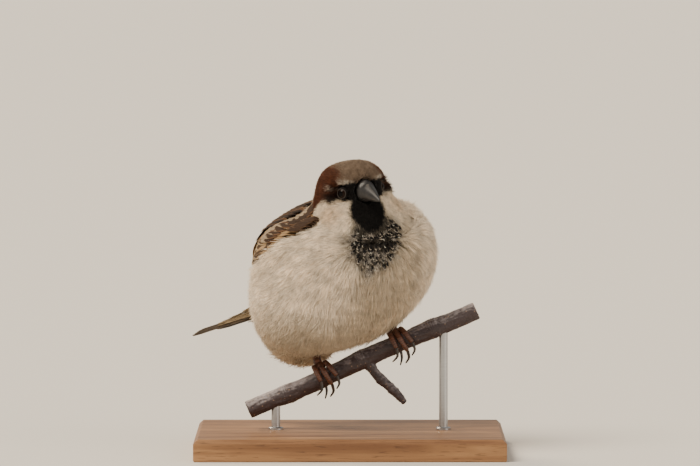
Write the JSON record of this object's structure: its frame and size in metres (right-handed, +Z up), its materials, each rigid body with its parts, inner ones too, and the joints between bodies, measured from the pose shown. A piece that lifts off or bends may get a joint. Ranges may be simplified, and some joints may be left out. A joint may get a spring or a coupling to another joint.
{
  "type": "house sparrow",
  "caption": "Adult male house sparrow, fluffed up and gripping a cut length of twig, held by a plain wooden display stand on steel rods.",
  "frame": {"origin": "middle of the underside of the stand's base", "axes": "+Z up; -Y is the side the bird faces; +X is the bird's left, towards the higher end of the perch"},
  "size_m": [0.1166, 0.124, 0.1067],
  "materials": {
    "plumage": "soft matt feathers: greige breast and belly, grey crown, chestnut sides of head, black bib, streaked brown back",
    "flight_feather": "satin feather vanes, dark brown with buff and chestnut edges",
    "bill_horn": "smooth dark horn with a soft shine",
    "eye": "wet, glossy, very dark brown",
    "leg_scale": "pinkish brown scutes with a dull shine",
    "claw_horn": "dark horn with a soft shine",
    "bark": "thin dark purplish grey bark with a silvery bloom",
    "base_wood": "satin oiled hardwood",
    "rod_steel": "fine brushed steel rod"
  },
  "bodies": {
    "root": {"head": "plumage", "neck": "plumage", "trunk": "plumage", "wing_right": "flight_feather", "wing_tip_right": "flight_feather", "wing_left": "flight_feather", "wing_tip_left": "flight_feather", "tail": "flight_feather", "bill_upper": "bill_horn", "bill_lower": "bill_horn", "eye_right": "eye", "eye_left": "eye", "leg_right": "leg_scale", "toe_inner_right": "leg_scale", "toe_middle_right": "leg_scale", "toe_outer_right": "leg_scale", "toe_hind_right": "leg_scale", "claw_inner_right": "claw_horn", "claw_middle_right": "claw_horn", "claw_outer_right": "claw_horn", "claw_hind_right": "claw_horn", "leg_left": "leg_scale", "toe_inner_left": "leg_scale", "toe_middle_left": "leg_scale", "toe_outer_left": "leg_scale", "toe_hind_left": "leg_scale", "claw_inner_left": "claw_horn", "claw_middle_left": "claw_horn", "claw_outer_left": "claw_horn", "claw_hind_left": "claw_horn", "perch": "bark", "stand_base": "base_wood", "stand_rod_low": "rod_steel", "stand_rod_high": "rod_steel"}
  },
  "joints": []
}
